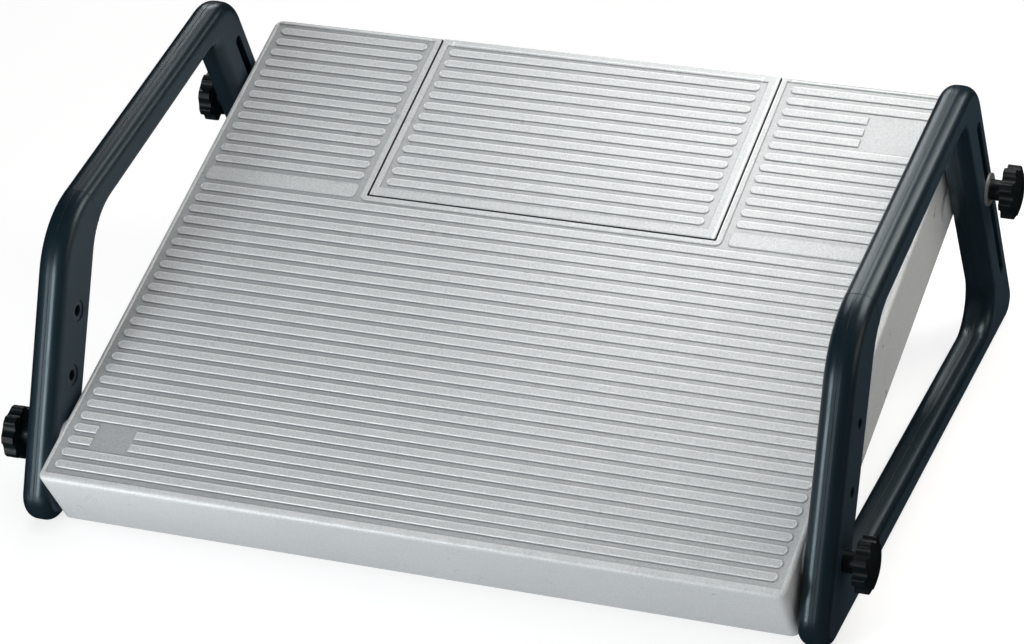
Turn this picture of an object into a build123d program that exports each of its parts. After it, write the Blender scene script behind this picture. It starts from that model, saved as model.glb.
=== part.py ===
from build123d import *
from math import cos, radians, sin, tan
import os

# Footrest: a ribbed footboard that tilts between two moulded side frames.
# Millimetres. X runs to the sitter's right, Y to the rear, Z up from the floor.
# The footboard is drawn in its own frame: u across, v from its front edge to
# the rear, n up from the tread. It is then tilted into place about the front bolts.

# Footboard
board_width = 450.0
board_depth = 387.5
skirt_depth = 47.0
skirt_lean = 12.5
board_tilt = 16.8
plate = 3.5
wall = 3.0
front_corner_r = 5.0
rear_corner_r = 6.0
tread_edge_r = 2.5

# Tread ribs
rib_pitch = 9.44
rib_width = 5.8
groove_depth = 1.0
rib_chamfer = 0.45
side_rim = 3.2
front_rim = 6.0
rear_rim = 3.6
rib_end_gap = 3.8
first_rib_v = 13.4
wide_rib_v = 251.8
wide_rib_width = 11.1
wide_rib_r = 2.5
first_rear_rib_v = 264.6

# Bare places in the tread: rib rows, counted from the front, and limits across
mark_rows = (2, 3)
mark_u = (-203.0, -179.0)
plate_rows = (8, 9, 10)
plate_u = (171.0, 205.0)

# Notch, tray and loose insert panel
notch_half = 110.65
notch_shift = -0.85
notch_front_v = 249.0
notch_rim = 3.8
notch_corner_r = 1.0
notch_rim_r = 4.0
ledge = 4.0
ledge_drop = 10.0
tray_drop = 34.0
tray_wall = 2.5
panel_gap = 0.9
panel_front_gap = 1.0
panel_rear_gap = 0.5
panel_shift = 0.1
panel_side_rims = (4.3, 6.9)
panel_front_rim = 7.2
panel_rear_rim = 5.4
panel_rib_gaps = (2.8, 3.7)
panel_first_rib_v = 262.9
panel_plate = 3.2
panel_wall = 2.2
panel_edge_r = 0.9

# Stiffening under the tread
web = 2.2
web_drop = 22.0
long_webs_short_u = (42.0,)
long_webs_full_u = (168.0,)
cross_webs_full_v = (88.0, 170.0)
cross_webs_side_v = (249.0, 318.0)

# Side frames
side_gap = 1.6
frame_thick = 19.0
frame_edge_r = 7.5
foot_front_y = -196.7
foot_longer = 13.4
front_lean = 25.07
rear_lean = 22.24
apex_height = 202.2
top_rise = 7.84
front_leg = 39.1
front_window_lean = 25.86
top_rail = 22.3
top_window_rise = 8.75
rear_leg = 33.6
rear_window_lean = 23.0
bottom_rail = 22.6
bottom_fall = 0.85
outer_radii = (16.0, 56.0, 29.0, 14.0)
window_radii = (11.0, 36.0, 8.5, 18.0)

# Holes in the front leg and slot in the rear leg
bolt_d = 6.0
bolt_clearance = 0.3
hole_rows = 3
hole_pitch = 37.8
hole_lean = 26.3
low_hole_inset = 42.8
low_hole_z = 44.4
hole_ring_d = 13.0
hole_ring_depth = 0.6
slot_inset = 14.3
slot_low_z = 42.4
slot_high_z = 171.2

# Bolt places in the footboard
front_bolt_v = 41.9
front_bolt_drop = 14.0
rear_bolt_drop = 31.3
rear_play_low = 0.6
rear_play_high = 2.5
rear_travel_front = 4.0
rear_travel_rear = 21.0
pad_gap = 0.1
front_pad_d = 24.0
rear_pad_length = 66.0
rear_pad_width = 22.0
rear_pad_inset = 39.5
rear_inner_pad = 3.0
boss_d = 15.0
boss_length = 15.0
insert_d = 8.0
insert_length = 12.0
insert_sink = 0.4
insert_groove = 0.4
insert_land = 3.5
thread_clearance = 0.05

# Knobs, studs, washers and nuts
seat_gap = 0.05
knob_d = 32.0
knob_lobes = 8
flute_r = 4.2
flute_centre = 17.6
knob_rim = 7.4
knob_dome = 3.0
lobe_r = 1.5
hub_d = 12.5
hub_length = 8.6
front_knob_turns = {"right": 9.0, "left": 33.0}
rear_knob_turns = {"right": 9.0, "left": 20.0}
stud_in_knob = 13.0
front_stud_reach = 37.0
rear_stud_reach = 38.0
stud_chamfer = 0.8
washer_d = 20.0
washer_hole_d = 6.4
washer_thick = 1.2
nut_flats = 10.0
nut_height = 6.0
nut_flange_d = 14.2
nut_flange = 1.5

# Rubber floor pads
pad_proud = 0.8
pad_depth = 3.4
pad_width = 8.0
pad_length = 60.0
pad_fit = 0.1
pad_end_inset = 28.0

# Worked out from the above
half = board_width / 2
frame_in = half + side_gap
frame_out = frame_in + frame_thick
frame_mid = (frame_in + frame_out) / 2
hole_d = bolt_d + 2 * bolt_clearance
foot_rear_y = foot_front_y + board_depth + foot_longer
low_hole_y = foot_front_y + low_hole_inset
rear_pad_v = board_depth - rear_pad_inset
front_rows = int((notch_front_v - notch_rim - rib_width / 2 - first_rib_v) / rib_pitch) + 1
rear_rows = int((board_depth - rear_rim - rib_width / 2 - first_rear_rib_v) / rib_pitch) + 1
panel_field_end = board_depth - panel_rear_gap - panel_rear_rim
panel_rows = int((panel_field_end - rib_width / 2 - panel_first_rib_v) / rib_pitch) + 1
notch_u = (notch_shift - notch_half, notch_shift + notch_half)
past = 20.0


def line(y, z, angle):
    """A straight line in the side view through a point at an angle from +Y."""
    return (y, z, radians(angle))


def meet(a, b):
    """The point where two lines of the side view cross."""
    turn = sin(b[2] - a[2])
    along = ((b[0] - a[0]) * sin(b[2]) - (b[1] - a[1]) * cos(b[2])) / turn
    return (a[0] + along * cos(a[2]), a[1] + along * sin(a[2]))


def shifted(a, inward):
    """The line moved to its right hand side."""
    return (a[0] + inward * sin(a[2]), a[1] - inward * cos(a[2]), a[2])


def rounded(corners, radii):
    """A face with straight sides whose corners are arcs of the given radii."""
    face = make_face(Polyline(*corners, close=True))
    for corner, radius in zip(corners, radii):
        face = fillet(face.vertices().sort_by_distance((*corner, 0))[0], radius)
    return face


def side_plane(x):
    """The plane at X whose own axes are Y and Z of the object."""
    return Plane(origin=(x, 0, 0), x_dir=(0, 1, 0), z_dir=(1, 0, 0))


def rod(radius, x_low, x_high, y=0, z=0):
    """A round bar along X."""
    return extrude(side_plane(x_low) * Pos(y, z) * Circle(radius), x_high - x_low)


def block(x, y, z):
    """A box between the limits given for each direction."""
    size = (x[1] - x[0], y[1] - y[0], z[1] - z[0])
    middle = ((x[0] + x[1]) / 2, (y[0] + y[1]) / 2, (z[0] + z[1]) / 2)
    return Pos(*middle) * Box(*size)


def grown(limits, by):
    """Limits moved apart by the given amount at both ends."""
    return (limits[0] - by, limits[1] + by)


def flat(u, v):
    """A rectangle of the tread between the limits given across and along."""
    middle = Pos((u[0] + u[1]) / 2, (v[0] + v[1]) / 2)
    return middle * Rectangle(u[1] - u[0], v[1] - v[0])


# Side view of the frame
front_edge = line(foot_front_y, 0, 90 - front_lean)
rear_edge = line(foot_rear_y, 0, 270 + rear_lean)
floor_edge = line(0, pad_proud, 180)
apex = meet(rear_edge, line(0, apex_height, 0))
top_edge = line(*apex, top_rise)
frame_corners = [
    meet(floor_edge, front_edge),
    meet(front_edge, top_edge),
    apex,
    meet(rear_edge, floor_edge),
]

front_foot_inner = foot_front_y + front_leg / cos(radians(front_lean))
window_bottom = line(front_foot_inner, bottom_rail, -bottom_fall)
window_front = line(front_foot_inner, 0, 90 - front_window_lean)
top_inner = meet(shifted(top_edge, top_rail), window_front)
window_top = line(*top_inner, top_window_rise)
rear_inner = meet(shifted(rear_edge, rear_leg), window_bottom)
window_rear = line(*rear_inner, 270 + rear_window_lean)
window_corners = [
    meet(window_bottom, window_front),
    top_inner,
    meet(window_top, window_rear),
    rear_inner,
]

# Bolt lines and the board's place between the frames
low_hole = (low_hole_y, low_hole_z)
slot_line = shifted(rear_edge, slot_inset)
slot_low = meet(slot_line, line(0, slot_low_z, 0))
slot_high = meet(slot_line, line(0, slot_high_z, 0))
tilt = radians(board_tilt)
below_pivot = rear_bolt_drop - front_bolt_drop
board_line = line(low_hole_y + below_pivot * sin(tilt), low_hole_z - below_pivot * cos(tilt), board_tilt)
rear_bolt = meet(board_line, slot_line)
rear_reach = (rear_bolt[0] - low_hole_y) * cos(tilt) + (rear_bolt[1] - low_hole_z) * sin(tilt)
rear_bolt_v = front_bolt_v + rear_reach
board_place = Pos(0, *low_hole) * Rot(board_tilt, 0, 0) * Pos(0, -front_bolt_v, front_bolt_drop)


def side_frame():
    """The right frame: a rounded closed loop with holes, rings, a slot and pad seats."""
    loop = rounded(frame_corners, outer_radii) - rounded(window_corners, window_radii)
    body = extrude(side_plane(frame_in) * loop, frame_thick)
    edges = body.edges().filter_by_position(Axis.X, frame_in - 0.1, frame_in + 0.1)
    edges += body.edges().filter_by_position(Axis.X, frame_out - 0.1, frame_out + 0.1)
    body = fillet(edges, frame_edge_r)
    for row in range(hole_rows):
        y = low_hole_y + row * hole_pitch * sin(radians(hole_lean))
        z = low_hole_z + row * hole_pitch * cos(radians(hole_lean))
        body -= rod(hole_d / 2, frame_in - 1, frame_out + 1, y, z)
        body -= rod(hole_ring_d / 2, frame_in - 1, frame_in + hole_ring_depth, y, z)
    middle = Pos((slot_low[0] + slot_high[0]) / 2, (slot_low[1] + slot_high[1]) / 2)
    length = (slot_high_z - slot_low_z) / cos(radians(rear_lean)) - hole_d
    slot = middle * Rot(0, 0, 90 + rear_lean) * SlotCenterToCenter(length, hole_d)
    body -= extrude(side_plane(frame_in - 1) * slot, frame_thick + 2)
    for y in pad_places():
        seat = SlotOverall(pad_length + 2 * pad_fit, pad_width + 2 * pad_fit)
        body -= extrude(Pos(frame_mid, y, 0) * Rot(0, 0, 90) * seat, pad_proud + pad_depth)
    return body


def pad_places():
    """Where the floor pads of one frame are along Y, front pad first."""
    front_y = foot_front_y + pad_end_inset + pad_length / 2
    rear_y = foot_rear_y - pad_end_inset - pad_length / 2
    return (front_y, rear_y)


def floor_pad(x, y):
    """One rubber strip under a bottom rail."""
    strip = extrude(SlotOverall(pad_length, pad_width), pad_proud + pad_depth)
    return Pos(x, y, 0) * Rot(0, 0, 90) * chamfer(strip.edges().group_by(Axis.Z)[0], pad_proud / 2)


def rib(u_low, u_high, v):
    """One stadium-shaped rib in plan."""
    return Pos((u_low + u_high) / 2, v) * SlotOverall(u_high - u_low, rib_width)


def board_pocket():
    """The sunk part of the tread in plan: the field less the notch rim and ribs."""
    rib_out = half - side_rim - rib_end_gap
    rib_in = grown(notch_u, notch_rim + rib_end_gap)
    field_u = (side_rim - half, half - side_rim)
    pocket = flat(field_u, (front_rim, board_depth - rear_rim))
    rim = flat(grown(notch_u, notch_rim), (notch_front_v - notch_rim, board_depth))
    pocket -= fillet(rim.vertices().group_by(Axis.Y)[0], notch_rim_r)
    for row in range(front_rows):
        pocket -= rib(-rib_out, rib_out, first_rib_v + row * rib_pitch)
    for limits in ((-rib_out, rib_in[0]), (rib_in[1], rib_out)):
        middle = Pos(sum(limits) / 2, wide_rib_v)
        pocket -= middle * RectangleRounded(limits[1] - limits[0], wide_rib_width, wide_rib_r)
        for row in range(rear_rows):
            pocket -= rib(*limits, first_rear_rib_v + row * rib_pitch)
    mark_v = [first_rib_v + row * rib_pitch for row in mark_rows]
    plate_v = [first_rear_rib_v + row * rib_pitch for row in plate_rows]
    pocket += flat(mark_u, (min(mark_v) - rib_pitch / 2, max(mark_v) + rib_pitch / 2))
    pocket += flat(plate_u, (min(plate_v) - rib_pitch / 2, max(plate_v) + rib_pitch / 2))
    return pocket


def board_shell():
    """The board's outer form with a leaning front, hollowed from below."""
    lean = tan(radians(skirt_lean))
    outer = [(0, 0), (board_depth, 0), (board_depth, -skirt_depth), (skirt_depth * lean, -skirt_depth)]
    shell = extrude(Plane.YZ * make_face(Polyline(*outer, close=True)), half, both=True)
    upright = shell.edges().filter_by(lambda e: abs(e.center().Z + skirt_depth / 2) < 1)
    corners = upright.filter_by(lambda e: abs(e.center().X) > half - 1).sort_by(Axis.Y)
    shell = fillet(corners[:2], front_corner_r)
    upright = shell.edges().filter_by(lambda e: abs(e.center().Z + skirt_depth / 2) < 1)
    corners = upright.filter_by(lambda e: abs(e.center().X) > half - 1).sort_by(Axis.Y)
    shell = fillet(corners[-2:], rear_corner_r)
    shell = fillet(shell.edges().group_by(Axis.Z)[-1], tread_edge_r)
    deep = skirt_depth + 1
    inner = [
        (wall + plate * lean, -plate),
        (board_depth - wall, -plate),
        (board_depth - wall, -deep),
        (wall + deep * lean, -deep),
    ]
    hollow = extrude(Plane.YZ * make_face(Polyline(*inner, close=True)), half - wall, both=True)
    return shell - hollow


def board_webs():
    """Stiffening webs under the tread, reaching into the walls they join."""
    high = -plate + 0.5
    front_v = wall + plate
    rear_v = board_depth - wall / 2
    side_u = half - wall / 2
    webs = []
    for sign in (-1, 1):
        for u in long_webs_short_u:
            at = (sign * u - web / 2, sign * u + web / 2)
            webs.append(block(at, (front_v, notch_front_v - tray_wall / 2), (-web_drop, high)))
        for u in long_webs_full_u:
            at = (sign * u - web / 2, sign * u + web / 2)
            webs.append(block(at, (front_v, rear_v), (-web_drop, high)))
        for v in cross_webs_side_v:
            across = sorted((notch_shift + sign * (notch_half + tray_wall / 2), sign * side_u))
            webs.append(block(across, (v - web / 2, v + web / 2), (-web_drop, high)))
    for v in cross_webs_full_v:
        webs.append(block((-side_u, side_u), (v - web / 2, v + web / 2), (-web_drop, high)))
    return webs


def board_tray():
    """The walls of the notch and of the tray below it."""
    out = grown(notch_u, tray_wall)
    low = grown(out, -ledge)
    rear_v = board_depth - wall / 2
    upper = block(out, (notch_front_v - tray_wall, rear_v), (-ledge_drop - tray_wall, -plate + 0.5))
    lower_v = notch_front_v - tray_wall + ledge
    lower = block(low, (lower_v, rear_v), (-tray_drop - tray_wall, -ledge_drop))
    return [upper, lower]


def board_bolt_seats(sign):
    """Bosses, pads and thickened walls for the bolts of one side."""
    pad_x = sign * (frame_in - pad_gap)
    wall_x = sign * (half - wall / 2)
    inner_x = sign * (half - wall - rear_inner_pad)
    boss_x = sign * (half - wall - boss_length)
    front_pad = rod(front_pad_d / 2, *sorted((wall_x, pad_x)), front_bolt_v, -front_bolt_drop)
    boss = rod(boss_d / 2, *sorted((wall_x, boss_x)), front_bolt_v, -front_bolt_drop)
    gusset_v = (front_bolt_v - web / 2, front_bolt_v + web / 2)
    gusset = block(sorted((wall_x, boss_x)), gusset_v, (-front_bolt_drop, -plate + 0.5))
    x = sorted((inner_x, pad_x))
    stadium = Pos(rear_pad_v, -rear_slot_drop()) * SlotOverall(rear_pad_length, rear_pad_width)
    rear_pad = extrude(side_plane(x[0]) * stadium, x[1] - x[0])
    return [front_pad, boss, gusset, rear_pad]


def rear_slot_drop():
    """How far the middle of the board's rear slot is below the tread."""
    return rear_bolt_drop - (rear_play_high - rear_play_low) / 2


def board_bolt_holes(sign):
    """Seat for the threaded insert, stud bore and rear slot of one side."""
    pad_x = sign * (frame_in - pad_gap)
    insert_x = pad_x - sign * (insert_sink + insert_length)
    boss_x = sign * (half - wall - boss_length)
    seat = rod(insert_d / 2, *sorted((insert_x, pad_x + sign)), front_bolt_v, -front_bolt_drop)
    bore = rod(hole_d / 2, *sorted((boss_x - sign, insert_x)), front_bolt_v, -front_bolt_drop)
    length = bolt_d + rear_travel_front + rear_travel_rear
    width = bolt_d + rear_play_low + rear_play_high
    middle = rear_bolt_v + (rear_travel_rear - rear_travel_front) / 2
    stadium = Pos(middle, -rear_slot_drop()) * SlotOverall(length, width)
    x = sorted((sign * (half - wall - rear_inner_pad - 1), pad_x + sign))
    slot = extrude(side_plane(x[0]) * stadium, x[1] - x[0])
    return [seat, bore, slot]


def tread_edges(body, u, v):
    """Edges in the tread plane inside the rim, round the ribs, bare places and notch."""
    level = body.edges().filter_by_position(Axis.Z, -0.01, 0.01)
    inside = level.filter_by(lambda e: u[0] - 0.01 < e.center().X < u[1] + 0.01)
    return inside.filter_by(lambda e: v[0] - 0.01 < e.center().Y < v[1] + 0.01)


def footboard():
    """The tread with its skirt, ribs, notch, tray, webs and bolt seats."""
    board = board_shell()
    added = board_webs() + board_tray()
    for sign in (-1, 1):
        added += board_bolt_seats(sign)
    board = board + added
    notch = flat(notch_u, (notch_front_v, board_depth + past))
    notch = fillet(notch.vertices().group_by(Axis.Y)[0], notch_corner_r)
    board -= extrude(Pos(0, 0, -ledge_drop) * notch, ledge_drop + 5)
    tray_v = (notch_front_v + ledge, board_depth + past)
    board -= block(grown(notch_u, -ledge), tray_v, (-tray_drop, 0))
    board -= extrude(Pos(0, 0, -groove_depth) * board_pocket(), groove_depth + 1)
    field_u = (side_rim - half, half - side_rim)
    board = chamfer(tread_edges(board, field_u, (front_rim, board_depth - rear_rim)), rib_chamfer)
    for sign in (-1, 1):
        board = board - board_bolt_holes(sign)
    return board


def insert_panel():
    """The loose ribbed cover of the notch, a shallow hollow tray upside down."""
    u = [panel_shift + limit for limit in grown(notch_u, -panel_gap)]
    v = (notch_front_v + panel_front_gap, board_depth - panel_rear_gap)
    plan = fillet(flat(u, v).vertices().group_by(Axis.Y)[0], notch_corner_r)
    panel = extrude(Pos(0, 0, seat_gap - ledge_drop) * plan, ledge_drop - seat_gap)
    panel = fillet(panel.edges().group_by(Axis.Z)[-1], panel_edge_r)
    inner_u = (u[0] + panel_wall, u[1] - panel_wall)
    panel -= block(inner_u, (v[0] + panel_wall, v[1] - panel_wall), (-ledge_drop, -panel_plate))
    for share in (1 / 3, 2 / 3):
        at = u[0] + share * (u[1] - u[0])
        panel += block((at - web / 2, at + web / 2), (v[0] + 1, v[1] - 1), (-ledge_drop + 1, -panel_plate + 0.5))
    field_u = (u[0] + panel_side_rims[0], u[1] - panel_side_rims[1])
    field_v = (v[0] + panel_front_rim, panel_field_end)
    pocket = flat(field_u, field_v)
    for row in range(panel_rows):
        at = panel_first_rib_v + row * rib_pitch
        pocket -= rib(field_u[0] + panel_rib_gaps[0], field_u[1] - panel_rib_gaps[1], at)
    panel -= extrude(Pos(0, 0, -groove_depth) * pocket, groove_depth + 1)
    return chamfer(tread_edges(panel, field_u, field_v), rib_chamfer)


def star_knob():
    """A fluted knob on its axis, hub end at X zero and dome towards +X."""
    head_x = hub_length
    top_x = head_x + knob_rim + knob_dome
    dome_r = ((knob_d / 2) ** 2 + knob_dome ** 2) / (2 * knob_dome)
    star = Circle(knob_d / 2)
    for lobe in range(knob_lobes):
        star -= Rot(0, 0, (lobe + 0.5) * 360 / knob_lobes) * Pos(flute_centre, 0) * Circle(flute_r)
    star = fillet(star.vertices(), lobe_r)
    head = extrude(side_plane(head_x) * star, knob_rim + knob_dome)
    dome = Pos(top_x - dome_r, 0, 0) * Sphere(dome_r)
    knob = (head & dome) + rod(hub_d / 2, 0, head_x + 1)
    return knob - rod(bolt_d / 2, -1, stud_in_knob)


def stud(reach):
    """A threaded stud moulded into a knob, in the knob's own place."""
    bar = rod(bolt_d / 2, -reach, stud_in_knob)
    return chamfer(bar.edges().group_by(Axis.X)[0], stud_chamfer)


def washer():
    """A flat steel washer with its inner face at X zero."""
    return rod(washer_d / 2, 0, washer_thick) - rod(washer_hole_d / 2, -1, washer_thick + 1)


def clamp_nut():
    """A flanged hexagon nut with its flange face at X zero, body towards -X."""
    hexagon = RegularPolygon(nut_flats / 2, 6, major_radius=False)
    nut = extrude(side_plane(-nut_height) * hexagon, nut_height)
    nut += rod(nut_flange_d / 2, -nut_flange, 0)
    return nut - rod(bolt_d / 2 + thread_clearance, -nut_height - 1, 1)


def thread_insert():
    """A brass insert with a grip groove, outer end at X zero, body towards -X."""
    body = rod(insert_d / 2, -insert_length, 0)
    groove_bar = rod(insert_d / 2 + 1, insert_land - insert_length, -insert_land)
    groove_bar -= rod(insert_d / 2 - insert_groove, -insert_length, 0)
    return body - groove_bar - rod(bolt_d / 2 + thread_clearance, -insert_length - 1, 1)


def both_sides(name, right):
    """The right-hand piece and its mirror image under their names."""
    return {name + "_right": right, name + "_left": mirror(right, about=Plane.YZ)}


front_knob_place = Pos(frame_out + seat_gap, *low_hole)
washer_place = Pos(frame_out + seat_gap, *rear_bolt)
rear_knob_place = Pos(frame_out + washer_thick + 2 * seat_gap, *rear_bolt)
nut_place = Pos(half - wall - rear_inner_pad - seat_gap, *rear_bolt)
insert_place = board_place * Pos(frame_in - pad_gap - insert_sink, front_bolt_v, -front_bolt_drop)

pieces = {
    "footboard": board_place * footboard(),
    "insert_panel": board_place * insert_panel(),
}
pieces.update(both_sides("frame", side_frame()))
knobs = {"knob_front": (front_knob_place, front_knob_turns), "knob_rear": (rear_knob_place, rear_knob_turns)}
for name, (place, turns) in knobs.items():
    pieces[name + "_right"] = place * Rot(turns["right"], 0, 0) * star_knob()
    pieces[name + "_left"] = mirror(place * Rot(turns["left"], 0, 0) * star_knob(), about=Plane.YZ)
pieces.update(both_sides("stud_front", front_knob_place * stud(front_stud_reach)))
pieces.update(both_sides("stud_rear", rear_knob_place * stud(rear_stud_reach)))
pieces.update(both_sides("washer_rear", washer_place * washer()))
pieces.update(both_sides("clamp_nut", nut_place * clamp_nut()))
pieces.update(both_sides("thread_insert", insert_place * thread_insert()))
for end, y in zip(("front", "rear"), pad_places()):
    pieces.update(both_sides("floor_pad_" + end, floor_pad(frame_mid, y)))

for name, piece in pieces.items():
    export_step(piece, "parts/" + name + ".step")
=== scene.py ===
from math import cos, pi, radians, sin

import bmesh
import bpy
from mathutils import Matrix, Vector


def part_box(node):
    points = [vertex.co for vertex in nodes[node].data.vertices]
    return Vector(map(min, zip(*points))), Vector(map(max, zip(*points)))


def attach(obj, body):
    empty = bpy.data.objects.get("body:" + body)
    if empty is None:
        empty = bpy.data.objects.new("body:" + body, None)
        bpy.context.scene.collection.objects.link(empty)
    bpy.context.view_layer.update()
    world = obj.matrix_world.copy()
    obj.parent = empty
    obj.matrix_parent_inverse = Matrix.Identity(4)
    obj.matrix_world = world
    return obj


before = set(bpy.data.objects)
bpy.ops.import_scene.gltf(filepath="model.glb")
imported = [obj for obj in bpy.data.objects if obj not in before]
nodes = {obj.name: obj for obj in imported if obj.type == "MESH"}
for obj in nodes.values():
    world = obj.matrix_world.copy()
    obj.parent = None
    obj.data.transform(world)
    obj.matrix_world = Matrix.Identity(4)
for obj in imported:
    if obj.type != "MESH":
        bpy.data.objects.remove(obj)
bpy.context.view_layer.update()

# Camera: where the photograph was taken from
CAMERA_PLACE = (0.7916, -1.8523, 1.2660)
CAMERA_AZIMUTH = 23.84
CAMERA_ELEVATION = 32.64
CAMERA_ROLL = -4.73
SENSOR_MM = 36.0
LENS_MM = 139.43
SHIFT_X = 0.0213
SHIFT_Y = 0.1327

# Room and lights
FLOOR_SIZE = 8.0
FLOOR_WHITE = 0.35
FLOOR_ROUGH = 0.8
FLOOR_GLOW = 0.75
ROOM_WHITE = 0.02
LIGHTS = {
    # name: place, aim, size across and up, watts, colour
    "front_left_box": ((-0.50, -1.25, 0.40), (-0.05, -0.15, 0.05), (0.3, 0.5), 8.0, (0.95, 0.98, 1.0)),
    "front_fill": ((-0.45, -1.60, 0.60), (0.0, -0.15, 0.05), (2.2, 1.0), 9.0, (0.97, 0.99, 1.0)),
    "low_left_panel": ((-0.36, -0.44, 0.004), (-0.36, -0.44, 1.0), (0.5, 0.28), 1.5, (1.0, 1.0, 1.0)),
    "sheen_box": ((-0.06, 0.35, 0.68), (0.07, 0.10, 0.18), (0.34, 0.24), 0.31, (1.0, 1.0, 1.0)),
    "near_right_box": ((0.50, 0.28, 0.62), (0.2, 0.1, 0.12), (0.4, 0.4), 2.8, (1.0, 0.96, 0.90)),
    "rear_left_strip": ((-0.62, 1.30, 1.00), (0.0, 0.0, 0.18), (0.9, 0.2), 6.0, (1.0, 1.0, 1.0)),
    "rear_right_box": ((0.93, 1.20, 0.83), (0.24, 0.0, 0.18), (0.25, 0.25), 1.2, (1.0, 1.0, 1.0)),
    "top_box": ((0.10, -0.10, 1.60), (0.0, 0.0, 0.1), (1.4, 1.4), 9.5, (1.0, 1.0, 1.0)),
    "right_box": ((1.50, 0.10, 0.45), (0.2, 0.0, 0.1), (0.8, 0.5), 1.6, (1.0, 0.85, 0.68)),
}
# Beam of a box with a grid on it, in degrees, and of a bare box
BEAMS = {"sheen_box": 70}
BARE_BEAM = 180
# Large boxes that fill shadows but do not show in the gloss
FILL_ONLY = ("front_fill", "top_box")

# Board's own directions at rest, for the finish of its tread
BOARD_SLOPE = radians(16.8)
TREAD_UP = (0.0, -sin(BOARD_SLOPE), cos(BOARD_SLOPE))
TREAD_BACK = (0.0, cos(BOARD_SLOPE), sin(BOARD_SLOPE))
PIVOT = (0.0, -0.1539, 0.0444)
TREAD_ABOVE_PIVOT = 0.014
PIVOT_FROM_FRONT = 0.0419

# Rows of ribs, back from the front edge
RIB_PITCH = 0.00944
FIRST_RIB = 0.0134
FIRST_REAR_RIB = 0.2646
FIRST_PANEL_RIB = 0.2629
WIDE_RIB = 0.2518
# Where ribs stand and where the tread is bare: limits across, then back from the front edge
BOARD_RIBS = (
    (-0.2165, 0.2165, 0.0098, 0.2440),
    (-0.2165, -0.1200, 0.2590, 0.3850),
    (0.1180, 0.2165, 0.2590, 0.3850),
)
PANEL_RIBS = ((-0.1020, 0.0970, 0.2598, 0.3850),)
BARE_PLACES = ((-0.2030, -0.1790, 0.0276, 0.0464), (0.1710, 0.2050, 0.3354, 0.3637))
FIELD_SOFT = 0.0005
RIB_END = 0.0017
# Below, a band is its two limits and the width of its soft edge
# Edges of a rib, where a painted highlight goes, and its feet, where painted shade goes, as shares of the
# pitch
FAR_EDGE = (0.705, 0.80, 0.04)
NEAR_EDGE = (0.19, 0.25, 0.02)
NEAR_FOOT = (0.135, 0.205, 0.03)
FAR_FOOT = (0.895, 0.945, 0.03)
# Heights above the tops of the ribs: bands, then two stretches over which a finish comes in
GROOVE = (-0.00120, -0.00052, 0.0001)
LIP = (-0.0012, 0.001, 0.0006)
GAP_DEPTH = (-0.0028, -0.0005, 0.00025)
TREAD_GRAIN = (-0.004, -0.001)
PROUD = (-0.00050, -0.00035)
# The rim round the tread: what it encloses, its front strip, and where its sides come in
RIM_INSIDE_X = (-0.2216, 0.2216, 0.0002)
RIM_INSIDE_BACK = (0.0062, 0.3837, 0.0002)
RIM_FRONT = (0.0, 0.0056, 0.0006)
RIM_SIDE = (0.2216, 0.2222)
# The gap round the loose panel, which gets a painted shade: its left, right and front runs, and the edges
# beside the right one, which get a painted highlight
GAP_LEFT = (-0.1117, -0.1103, 0.0001)
GAP_RIGHT = (0.1085, 0.1100, 0.0001)
GAP_FRONT = (0.2488, 0.2503, 0.0001)
GAP_ACROSS = (GAP_LEFT[0], GAP_RIGHT[1], 0.0001)
GAP_EDGES = ((0.1068, 0.1081, 0.0002), (0.1101, 0.1107, 0.0002))
# The stretch from left to right over which the dirt and painted shade in the grooves get thinner
DIRT_AND_SHADE_FADE = (-0.05, 0.18)

# Colours in linear values; a pair is mixed by noise
BOARD_GREY = ((0.425, 0.447, 0.455, 1), (0.455, 0.477, 0.485, 1))
BOARD_GRAIN = ((0.315, 0.332, 0.338, 1), (0.640, 0.662, 0.668, 1))
# Dirt and painted shade in the grooves
BOARD_DIRT_AND_SHADE = (0.17, 0.18, 0.19, 1)
# Painted shade in the gap round the loose panel
BOARD_GAP_SHADE = (0.012, 0.013, 0.014, 1)
# Painted highlight on the edges of the ribs, the rim and the gap
BOARD_HIGHLIGHT = (0.80, 0.82, 0.82, 1)
FRAME_GLOSS = ((0.0046, 0.0112, 0.0160, 1), (0.0060, 0.0136, 0.0190, 1))
FRAME_FLAT = ((0.0155, 0.0300, 0.0420, 1), (0.0180, 0.0335, 0.0465, 1))
FRAME_RUBBED = (0.040, 0.048, 0.056, 1)
FRAME_SPECK = (0.20, 0.21, 0.22, 1)
FRAME_SHINE = (0.76, 0.93, 1.0, 1)
SEAM_BLACK = ((0.0035, 0.006, 0.010, 1), (0.007, 0.011, 0.016, 1))
KNOB_BLACK = ((0.0030, 0.0050, 0.0060, 1), (0.0052, 0.0075, 0.0085, 1))
KNOB_SPECK = (0.10, 0.11, 0.11, 1)
ZINC = ((0.66, 0.66, 0.67, 1), (0.78, 0.79, 0.80, 1))
BRASS = ((0.62, 0.44, 0.19, 1), (0.76, 0.56, 0.26, 1))
RUBBER = ((0.012, 0.012, 0.012, 1), (0.035, 0.035, 0.036, 1))

# Depths under a frame's side planes between which its rounded edge turns into the flat face
FLAT_DEPTHS = (0.0006, 0.00005)
# Turn of the streaks that are rubbed into the frames
RUB_TURN = radians(7.8)

# Fine lines left by the moulds on the side frames
SEAM_WIDTH = 0.00062
SEAM_HEIGHT = 0.00016
SEAM_SUNK = 0.25
SEAM_POINTS = 6
SEAM_LOWEST = 0.006
SEAM_STEP = 0.0008
# Rings round the bend of the upper rail and round the bottom rail, with the height between the two
BEND_SEAM_Y = -0.086
BEND_SEAM_LEAN = radians(16.0)
RAIL_SEAM_Y = 0.008
RING_SEARCH = 0.02
RING_REACH = 0.03
RING_STEP = 0.0006
BETWEEN_RAILS_Z = 0.1

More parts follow.
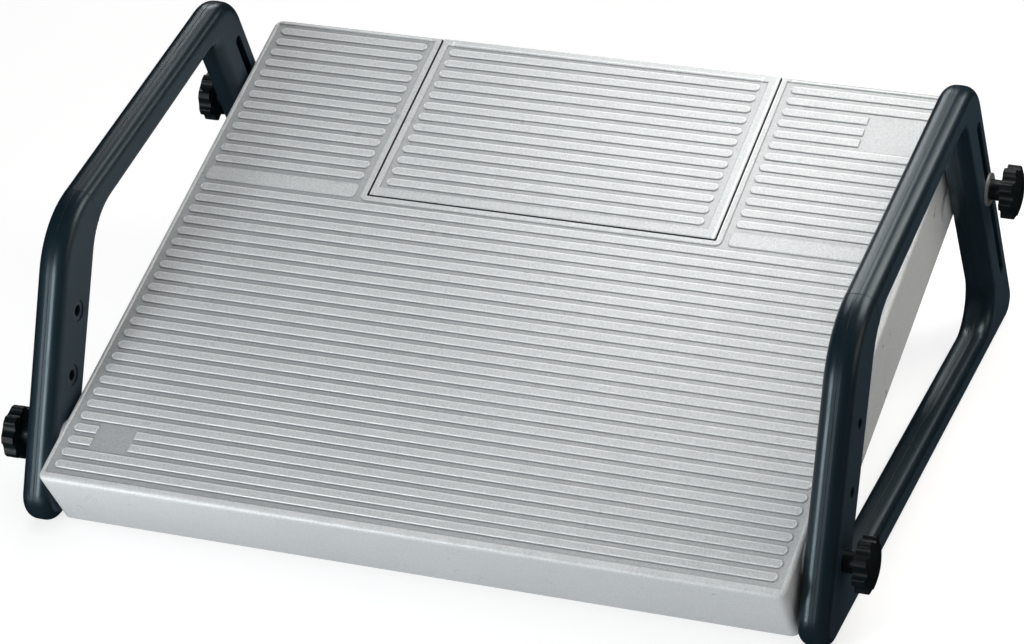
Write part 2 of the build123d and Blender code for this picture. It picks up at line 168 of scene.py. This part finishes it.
# Thread on the ends of the rear studs
THREAD_PITCH = 0.001
THREAD_DEPTH = 0.00022
THREAD_LENGTH = 0.0036
THREAD_START = 0.0009
THREAD_STEPS = 24
# Shares of the pitch along the stud and of the depth outwards
THREAD_PROFILE = ((-0.36, -0.05), (0.0, 1.0), (0.36, -0.05))


def camera():
    """The photograph's camera."""
    data = bpy.data.cameras.new("camera")
    data.lens = LENS_MM
    data.sensor_width = SENSOR_MM
    data.shift_x = SHIFT_X
    data.shift_y = SHIFT_Y
    obj = bpy.data.objects.new("camera", data)
    bpy.context.collection.objects.link(obj)
    turn = Matrix.Rotation(radians(CAMERA_AZIMUTH), 4, "Z")
    pitch = Matrix.Rotation(radians(90 - CAMERA_ELEVATION), 4, "X")
    roll = Matrix.Rotation(radians(CAMERA_ROLL), 4, "Z")
    obj.matrix_world = Matrix.Translation(CAMERA_PLACE) @ turn @ pitch @ roll
    bpy.context.scene.camera = obj


def room():
    """Even dim light from all round, kept out of reflections."""
    bpy.context.scene.view_settings.view_transform = "Standard"
    world = bpy.data.worlds.new("room")
    world.use_nodes = True
    bpy.context.scene.world = world
    background = world.node_tree.nodes["Background"]
    background.inputs["Color"].default_value = (1, 1, 1, 1)
    background.inputs["Strength"].default_value = ROOM_WHITE
    world.cycles_visibility.glossy = False


def pale_floor():
    """A plain floor that glows a little, so that it stays white, kept out of reflections."""
    mesh = bpy.data.meshes.new("floor")
    h = FLOOR_SIZE / 2
    mesh.from_pydata([(-h, -h, 0), (h, -h, 0), (h, h, 0), (-h, h, 0)], [], [(0, 1, 2, 3)])
    floor = bpy.data.objects.new("floor", mesh)
    bpy.context.collection.objects.link(floor)
    floor.visible_glossy = False
    mat = bpy.data.materials.new("floor_white")
    mat.use_nodes = True
    shader = mat.node_tree.nodes["Principled BSDF"]
    shader.inputs["Base Color"].default_value = (FLOOR_WHITE, FLOOR_WHITE, FLOOR_WHITE, 1)
    shader.inputs["Roughness"].default_value = FLOOR_ROUGH
    shader.inputs["Specular IOR Level"].default_value = 0.0
    shader.inputs["Emission Color"].default_value = (1, 1, 1, 1)
    shader.inputs["Emission Strength"].default_value = FLOOR_GLOW
    mesh.materials.append(mat)


def soft_boxes():
    """The studio's lamps, none of them seen directly."""
    for name, (place, aim, size, watts, colour) in LIGHTS.items():
        data = bpy.data.lights.new(name, "AREA")
        data.shape = "RECTANGLE"
        data.size, data.size_y = size
        data.energy = watts
        data.color = colour
        data.spread = radians(BEAMS.get(name, BARE_BEAM))
        lamp = bpy.data.objects.new(name, data)
        bpy.context.collection.objects.link(lamp)
        away = Vector(place) - Vector(aim)
        lamp.matrix_world = Matrix.Translation(place) @ away.to_track_quat("Z", "Y").to_matrix().to_4x4()
        lamp.visible_camera = False
        lamp.visible_glossy = name not in FILL_ONLY


class Shader:
    """A node material with a Principled shader and short ways to add nodes."""

    def __init__(self, name):
        self.material = bpy.data.materials.new(name)
        self.material.use_nodes = True
        self.tree = self.material.node_tree
        self.bsdf = self.tree.nodes["Principled BSDF"]
        self.place = self.add("ShaderNodeTexCoord").outputs["Object"]

    def add(self, kind, **inputs):
        made = self.tree.nodes.new(kind)
        for key, value in inputs.items():
            self.put(made.inputs[key.replace("_", " ")], value)
        return made

    def put(self, socket, value):
        if isinstance(value, bpy.types.NodeSocket):
            self.tree.links.new(value, socket)
        else:
            socket.default_value = value

    def noise(self, scale, detail=4.0, rough=0.55, place=None):
        where = self.place if place is None else place
        made = self.add("ShaderNodeTexNoise", Vector=where, Scale=scale, Detail=detail, Roughness=rough)
        return made.outputs["Fac"]

    def varied(self, scale, low=0.0, high=1.0):
        """Noise that wanders between two values."""
        return self.spread(self.noise(scale), 0.3, 0.7, low, high)

    def stretched(self, scale, turn=(0.0, 0.0, 0.0)):
        made = self.add("ShaderNodeMapping", Vector=self.place)
        made.inputs["Scale"].default_value = scale
        made.inputs["Rotation"].default_value = turn
        return made.outputs["Vector"]

    def specks(self, scale, size, share=0.07):
        """Small round spots in a share of the cells."""
        cells = self.add("ShaderNodeTexVoronoi", Vector=self.place, Scale=scale)
        near = self.spread(cells.outputs["Distance"], size * 0.6, size, 1.0, 0.0)
        split = self.add("ShaderNodeSeparateColor", Color=cells.outputs["Color"])
        return self.times(near, self.above(split.outputs["Red"], 1.0 - share))

    def maths(self, operation, first, second=0.0):
        made = self.tree.nodes.new("ShaderNodeMath")
        made.operation = operation
        self.put(made.inputs[0], first)
        self.put(made.inputs[1], second)
        return made.outputs["Value"]

    def plus(self, first, *others):
        for value in others:
            first = self.maths("ADD", first, value)
        return first

    def times(self, first, *others):
        for value in others:
            first = self.maths("MULTIPLY", first, value)
        return first

    def above(self, value, limit):
        """One where a value is greater than a limit, and zero elsewhere."""
        return self.maths("GREATER_THAN", value, limit)

    def spread(self, value, low, high, to_low, to_high):
        made = self.add("ShaderNodeMapRange", Value=value)
        made.inputs["From Min"].default_value = low
        made.inputs["From Max"].default_value = high
        made.inputs["To Min"].default_value = to_low
        made.inputs["To Max"].default_value = to_high
        return made.outputs["Result"]

    def band(self, value, low, high, soft):
        """One between two limits, falling to zero over a soft edge outside them."""
        rise = self.spread(value, low - soft, low, 0.0, 1.0)
        fall = self.spread(value, high, high + soft, 1.0, 0.0)
        return self.times(rise, fall)

    def axis(self, name):
        return self.add("ShaderNodeSeparateXYZ", Vector=self.place).outputs[name]

    def along(self, direction, start):
        """Metres along a direction from a point, in the node's own frame."""
        away = self.tree.nodes.new("ShaderNodeVectorMath")
        away.operation = "DOT_PRODUCT"
        self.put(away.inputs[0], self.place)
        away.inputs[1].default_value = direction
        base = Vector(direction).dot(Vector(start))
        return self.maths("SUBTRACT", away.outputs["Value"], base)

    def mix(self, share, first, second):
        made = self.tree.nodes.new("ShaderNodeMix")
        made.data_type = "RGBA"
        self.put(made.inputs["Factor"], share)
        self.put(made.inputs["A"], first)
        self.put(made.inputs["B"], second)
        return made.outputs["Result"]

    def bump(self, height, strength, distance, normal=None):
        made = self.add("ShaderNodeBump", Height=height, Strength=strength, Distance=distance)
        if normal is not None:
            self.put(made.inputs["Normal"], normal)
        return made.outputs["Normal"]

    def finish(self, **inputs):
        for key, value in inputs.items():
            self.put(self.bsdf.inputs[key.replace("_", " ")], value)
        return self.material


class TreadShader(Shader):
    """A shader that knows its place on the tread: across it, back from its front edge and in height."""

    def __init__(self, name, first_rear_rib, rib_fields):
        super().__init__(name)
        pivot = Vector(PIVOT)
        self.x = self.axis("X")
        self.height = self.along(TREAD_UP, pivot + TREAD_ABOVE_PIVOT * Vector(TREAD_UP))
        self.back = self.along(TREAD_BACK, pivot - PIVOT_FROM_FRONT * Vector(TREAD_BACK))
        self.proud = self.spread(self.height, *PROUD, 0.0, 1.0)
        self.beside_panel = self.above(self.back, GAP_FRONT[0])
        self.in_pitch = self.share_of_pitch(first_rear_rib)
        self.ribbed = self.plus(*[self.field(limits) for limits in rib_fields])
        for limits in BARE_PLACES:
            bare = self.times(self.field(limits), self.ribbed)
            self.ribbed = self.maths("SUBTRACT", self.ribbed, bare)
        self.rib_ends = self.plus(*[self.field_ends(limits) for limits in rib_fields])

    def share_of_pitch(self, first_rear_rib):
        """From zero to one over each row of ribs; the rows behind the wide rib have their own start."""
        behind = self.above(self.back, WIDE_RIB)
        shift = self.times(behind, first_rear_rib - FIRST_RIB)
        row = self.maths("SUBTRACT", self.maths("SUBTRACT", self.back, shift), FIRST_RIB - RIB_PITCH / 2)
        return self.maths("FRACT", self.maths("DIVIDE", row, RIB_PITCH))

    def field(self, limits, longer=0.0):
        """One inside a rectangle of the tread, which may be made longer at both ends."""
        left, right, front, rear = limits
        columns = self.band(self.x, left - longer, right + longer, FIELD_SOFT)
        return self.times(columns, self.band(self.back, front, rear, FIELD_SOFT))

    def field_ends(self, limits):
        """One at the round ends of a field's ribs."""
        return self.maths("SUBTRACT", self.field(limits, RIB_END), self.field(limits))

    def groove_dirt_and_shade(self):
        """Share of dirt and painted shade: darker in all grooves, less so to the right, and painted shade
        along the feet of the ribs.
        """
        within = self.times(self.band(self.x, *RIM_INSIDE_X), self.band(self.back, *RIM_INSIDE_BACK))
        sunk = self.times(self.band(self.height, *GROOVE), within)
        thin = self.times(sunk, self.spread(self.x, *DIRT_AND_SHADE_FADE, 0.42, 0.20))
        far_feet = self.times(self.band(self.in_pitch, *FAR_FOOT), 0.5)
        feet = self.plus(self.band(self.in_pitch, *NEAR_FOOT), far_feet)
        return self.plus(thin, self.times(feet, sunk, self.ribbed, self.varied(60.0, 0.28, 0.45)))

    def gap(self):
        """One in the gap round the loose panel, where a painted shade goes."""
        sides = self.maths("MAXIMUM", self.band(self.x, *GAP_LEFT), self.band(self.x, *GAP_RIGHT))
        sides = self.times(sides, self.beside_panel)
        ahead = self.times(self.band(self.back, *GAP_FRONT), self.band(self.x, *GAP_ACROSS))
        return self.times(self.maths("MAXIMUM", sides, ahead), self.band(self.height, *GAP_DEPTH))

    def painted_highlight(self):
        """Share of painted highlight: paler edges and ends of the ribs, the rim's lip and the edges
        beside the gap.
        """
        edges = self.plus(self.band(self.in_pitch, *FAR_EDGE), self.band(self.in_pitch, *NEAR_EDGE))
        ribs = self.times(self.plus(self.times(edges, self.ribbed), self.rib_ends), self.proud)
        side = self.spread(self.maths("ABSOLUTE", self.x), *RIM_SIDE, 0.0, 1.0)
        rim = self.maths("MAXIMUM", self.band(self.back, *RIM_FRONT), side)
        lip = self.times(rim, self.band(self.height, *LIP), 0.45)
        by_gap = self.maths("MAXIMUM", *[self.band(self.x, *edge) for edge in GAP_EDGES])
        by_gap = self.times(by_gap, self.beside_panel, self.proud)
        patchy = self.spread(self.noise(90.0), 0.35, 0.65, 0.30, 0.62)
        return self.times(self.plus(ribs, lip, by_gap), patchy)


def board_plastic(name, first_rear_rib, rib_fields):
    """Pale cool grey with a fine grain; painted highlights along the ribs' edges, dirt and painted shade
    in the grooves, painted shade along the ribs' feet and in the gap round the panel.
    """
    s = TreadShader(name, first_rear_rib, rib_fields)
    grain = s.noise(900.0, detail=3.0, rough=0.75)
    grained = s.mix(s.spread(grain, 0.32, 0.68, 0.0, 1.0), *BOARD_GRAIN)
    colour = s.mix(s.varied(11.0), *BOARD_GREY)
    colour = s.mix(s.spread(s.height, *TREAD_GRAIN, 0.30, 0.55), colour, grained)
    # Darker grooves, dirt and painted shade, with painted shade along the ribs' feet
    colour = s.mix(s.groove_dirt_and_shade(), colour, BOARD_DIRT_AND_SHADE)
    gap = s.gap()
    # Near-black painted shade in the gap round the loose panel
    colour = s.mix(s.times(gap, 0.92), colour, BOARD_GAP_SHADE)
    # Pale painted highlight on the ribs' edges and ends, the rim's lip and the edges beside the gap
    colour = s.mix(s.painted_highlight(), colour, BOARD_HIGHLIGHT)
    rough = s.varied(70.0, 0.27, 0.34)
    shine = s.spread(gap, 0.0, 1.0, 0.5, 0.05)
    wave = s.bump(s.noise(26.0), strength=0.05, distance=0.002)
    normal = s.bump(grain, strength=0.40, distance=0.00025, normal=wave)
    return s.finish(Base_Color=colour, Roughness=rough, Specular_IOR_Level=shine, Normal=normal)


def frame_plastic(name, inner, outer):
    """Dark navy: smooth glossy rounded edges, grained greyer flat faces, specks and rubbed scratches."""
    s = Shader(name)
    middle = (inner + outer) / 2
    reach = abs(outer - inner) / 2
    off = s.maths("ABSOLUTE", s.maths("SUBTRACT", s.axis("X"), middle))
    flat = s.spread(off, *[reach - depth for depth in FLAT_DEPTHS], 0.0, 1.0)
    cloud = s.varied(16.0)
    colour = s.mix(flat, s.mix(cloud, *FRAME_GLOSS), s.mix(cloud, *FRAME_FLAT))
    streaks = s.stretched((1.0, 0.14, 1.0), (RUB_TURN, 0.0, 0.0))
    rubbed = s.spread(s.noise(120.0, detail=6.0, rough=0.8, place=streaks), 0.70, 0.80, 0.0, 0.25)
    colour = s.mix(rubbed, colour, FRAME_RUBBED)
    colour = s.mix(s.specks(70.0, size=0.012), colour, FRAME_SPECK)
    rough = s.plus(s.varied(45.0, 0.31, 0.36), s.times(flat, 0.14), s.times(rubbed, 0.3))
    shine = s.spread(flat, 0.0, 1.0, 0.50, 0.30)
    wave = s.bump(s.noise(38.0, detail=2.0), strength=0.03, distance=0.0010)
    grain = s.times(s.noise(1100.0, detail=2.0), s.spread(flat, 0.0, 1.0, 0.04, 1.0))
    normal = s.bump(grain, strength=0.22, distance=0.00020, normal=wave)
    s.finish(Base_Color=colour, Roughness=rough, Normal=normal)
    return s.finish(Specular_IOR_Level=shine, Specular_Tint=FRAME_SHINE)


def seam_plastic():
    """The duller plastic of a mould line."""
    s = Shader("seam_plastic")
    colour = s.mix(s.varied(300.0), *SEAM_BLACK)
    rough = s.varied(500.0, 0.4, 0.6)
    normal = s.bump(s.noise(900.0), strength=0.15, distance=0.0002)
    return s.finish(Base_Color=colour, Roughness=rough, Normal=normal)


def knob_plastic():
    """Near-black satin with a fine spark-eroded grain."""
    s = Shader("knob_plastic")
    colour = s.mix(s.varied(70.0), *KNOB_BLACK)
    colour = s.mix(s.specks(180.0, size=0.02), colour, KNOB_SPECK)
    rough = s.varied(160.0, 0.30, 0.40)
    normal = s.bump(s.noise(1700.0, detail=2.0), strength=0.20, distance=0.00015)
    return s.finish(Base_Color=colour, Roughness=rough, Specular_IOR_Level=0.26, Normal=normal)


def metal(name, colours, rough, metallic):
    """Plated or turned metal with fine marks round its axis along X."""
    s = Shader(name)
    marks = s.noise(1500.0, detail=3.0, rough=0.6, place=s.stretched((3.0, 0.25, 0.25)))
    colour = s.mix(s.varied(140.0), *colours)
    uneven = s.spread(marks, 0.3, 0.7, rough - 0.07, rough + 0.09)
    normal = s.bump(marks, strength=0.18, distance=0.0001)
    return s.finish(Base_Color=colour, Roughness=uneven, Metallic=metallic, Normal=normal)


def rubber():
    """Dull black rubber with a mottled bloom."""
    s = Shader("pad_rubber")
    colour = s.mix(s.spread(s.noise(180.0), 0.4, 0.75, 0.0, 0.6), *RUBBER)
    rough = s.varied(400.0, 0.7, 0.9)
    normal = s.bump(s.noise(1200.0), strength=0.4, distance=0.0002)
    return s.finish(Base_Color=colour, Roughness=rough, Normal=normal)


def dress(material, *starts):
    """Gives a material to every node whose name has one of the starts."""
    for name, obj in nodes.items():
        if name.startswith(starts):
            obj.data.materials.clear()
            obj.data.materials.append(material)


def cut_links(node, place, facing):
    """The points where a plane cuts a node's edges, each with the points that it is joined to."""
    bm = bmesh.new()
    bm.from_mesh(nodes[node].data)
    everything = bm.verts[:] + bm.edges[:] + bm.faces[:]
    cut = bmesh.ops.bisect_plane(bm, geom=everything, dist=1e-7, plane_co=place, plane_no=facing)
    links = {}
    for part in cut["geom_cut"]:
        if isinstance(part, bmesh.types.BMEdge):
            ends = [tuple(round(c, 6) for c in v.co) for v in part.verts]
            if ends[0] == ends[1]:
                continue
            for here, there in (ends, ends[::-1]):
                links.setdefault(here, set()).add(there)
    bm.free()
    return links


def cut_loops(node, place, facing):
    """The closed lines where a plane cuts a node, longest first."""
    links = cut_links(node, place, facing)
    loops = []
    left = set(links)
    while left:
        here = left.pop()
        line = [here]
        while True:
            ahead = [p for p in links[here] if p in left]
            if not ahead:
                break
            here = ahead[0]
            left.discard(here)
            line.append(here)
        loops.append([Vector(p) for p in line])
    return sorted(loops, key=lambda points: -sum((a - b).length for a, b in zip(points, points[1:])))


def piece(name, verts, faces, material, body):
    """A small mesh that rides on a body."""
    mesh = bpy.data.meshes.new(name)
    mesh.from_pydata(verts, [], faces)
    mesh.materials.append(material)
    obj = bpy.data.objects.new(name, mesh)
    bpy.context.collection.objects.link(obj)
    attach(obj, body)
    return mesh


def bead(name, node, points, closed, across, material):
    """A fine half-round line laid on a node along points; across is its width direction."""
    across = Vector(across).normalized()
    count = len(points)
    verts = []
    for i, point in enumerate(points):
        before = points[i - 1] if closed or i else point
        after = points[(i + 1) % count] if closed or i < count - 1 else point
        out = across.cross((after - before).normalized()).normalized()
        _, _, normal, _ = nodes[node].closest_point_on_mesh(point)
        if out.dot(normal) < 0:
            out = -out
        for step in range(SEAM_POINTS):
            turn = pi * step / (SEAM_POINTS - 1)
            sideways = across * (SEAM_WIDTH / 2 * cos(turn))
            verts.append(point + sideways + out * (SEAM_HEIGHT * (sin(turn) - SEAM_SUNK)))
    faces = []
    for i in range(count if closed else count - 1):
        here = i * SEAM_POINTS
        there = (i + 1) % count * SEAM_POINTS
        for k in range(SEAM_POINTS - 1):
            faces.append((here + k, here + k + 1, there + k + 1, there + k))
    piece(name, verts, faces, material, "side_frames").shade_smooth()


def thinned(points, least):
    """Points with those closer than the least distance left out."""
    kept = [points[0]]
    for point in points[1:]:
        if (point - kept[-1]).length >= least:
            kept.append(point)
    return kept


def raised_run(points):
    """The run of a closed line that stays above the floor pads, and whether it is still closed."""
    low = [i for i, p in enumerate(points) if p.z < SEAM_LOWEST]
    if not low:
        return points, True
    start = next(i for i in low if points[(i + 1) % len(points)].z >= SEAM_LOWEST)
    turned = points[start + 1:] + points[:start + 1]
    run = []
    for point in turned:
        if point.z < SEAM_LOWEST:
            break
        run.append(point)
    return run, False


def mould_lines(side, material):
    """Parting lines round the outside and the window of a frame, and two ring lines."""
    node = "frame_" + side
    low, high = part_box(node)
    middle = (low[0] + high[0]) / 2
    loops = cut_loops(node, (middle, 0, 0), (1, 0, 0))[:2]
    for label, loop in zip(("outer", "window"), loops):
        run, closed = raised_run(thinned(loop, SEAM_STEP))
        bead("parting_%s_%s" % (label, side), node, run, closed, (1, 0, 0), material)
    rings = {"bend": (BEND_SEAM_Y, (0, cos(BEND_SEAM_LEAN), sin(BEND_SEAM_LEAN)), True),
             "rail": (RAIL_SEAM_Y, (0, 1, 0), False)}
    for label, (y, facing, upper) in rings.items():
        on_rail = [p for p in loops[0] if (p.z > BETWEEN_RAILS_Z) == upper and abs(p.y - y) < RING_SEARCH]
        spot = min(on_rail, key=lambda p: abs(p.y - y))
        for loop in cut_loops(node, spot, facing):
            near = min((p - spot).length for p in loop) < RING_REACH
            if near and all((p.z > BETWEEN_RAILS_Z) == upper for p in loop):
                run = [p for p in thinned(loop, RING_STEP) if p.z > SEAM_LOWEST]
                bead("ring_%s_%s" % (label, side), node, run, upper, facing, material)
                break


def stud_thread(side, material):
    """The thread that shows on the end of a rear stud, past its nut."""
    low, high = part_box("stud_rear_" + side)
    radius = (high[1] - low[1]) / 2
    centre_y = (low[1] + high[1]) / 2
    centre_z = (low[2] + high[2]) / 2
    inner = low[0] if side == "right" else high[0]
    out = 1 if side == "right" else -1
    steps = int(THREAD_LENGTH / THREAD_PITCH * THREAD_STEPS)
    points = len(THREAD_PROFILE)
    verts = []
    faces = []
    for i in range(steps + 1):
        turn = 2 * pi * i / THREAD_STEPS
        x = inner + out * (THREAD_START + THREAD_PITCH * i / THREAD_STEPS)
        for shift, lift in THREAD_PROFILE:
            r = radius + THREAD_DEPTH * lift
            verts.append((x + shift * THREAD_PITCH, centre_y + r * cos(turn), centre_z + r * sin(turn)))
        if i:
            here = points * i
            for k in range(points - 1):
                faces.append((here - points + k, here - points + k + 1, here + k + 1, here + k))
    piece("thread_rear_" + side, verts, faces, material, "knob_rear_" + side)


camera()
room()
pale_floor()
soft_boxes()
zinc = metal("zinc_steel", ZINC, rough=0.34, metallic=0.80)
seam = seam_plastic()
dress(board_plastic("board_plastic", FIRST_REAR_RIB, BOARD_RIBS), "footboard")
dress(board_plastic("panel_plastic", FIRST_PANEL_RIB, PANEL_RIBS), "insert_panel")
dress(knob_plastic(), "knob_")
dress(zinc, "stud_", "washer_", "clamp_nut_")
dress(metal("turned_brass", BRASS, rough=0.34, metallic=0.7), "thread_insert_")
dress(rubber(), "floor_pad_")
for side in ("left", "right"):
    low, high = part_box("frame_" + side)
    dress(frame_plastic("frame_plastic_" + side, low[0], high[0]), "frame_" + side)
    mould_lines(side, seam)
    stud_thread(side, zinc)
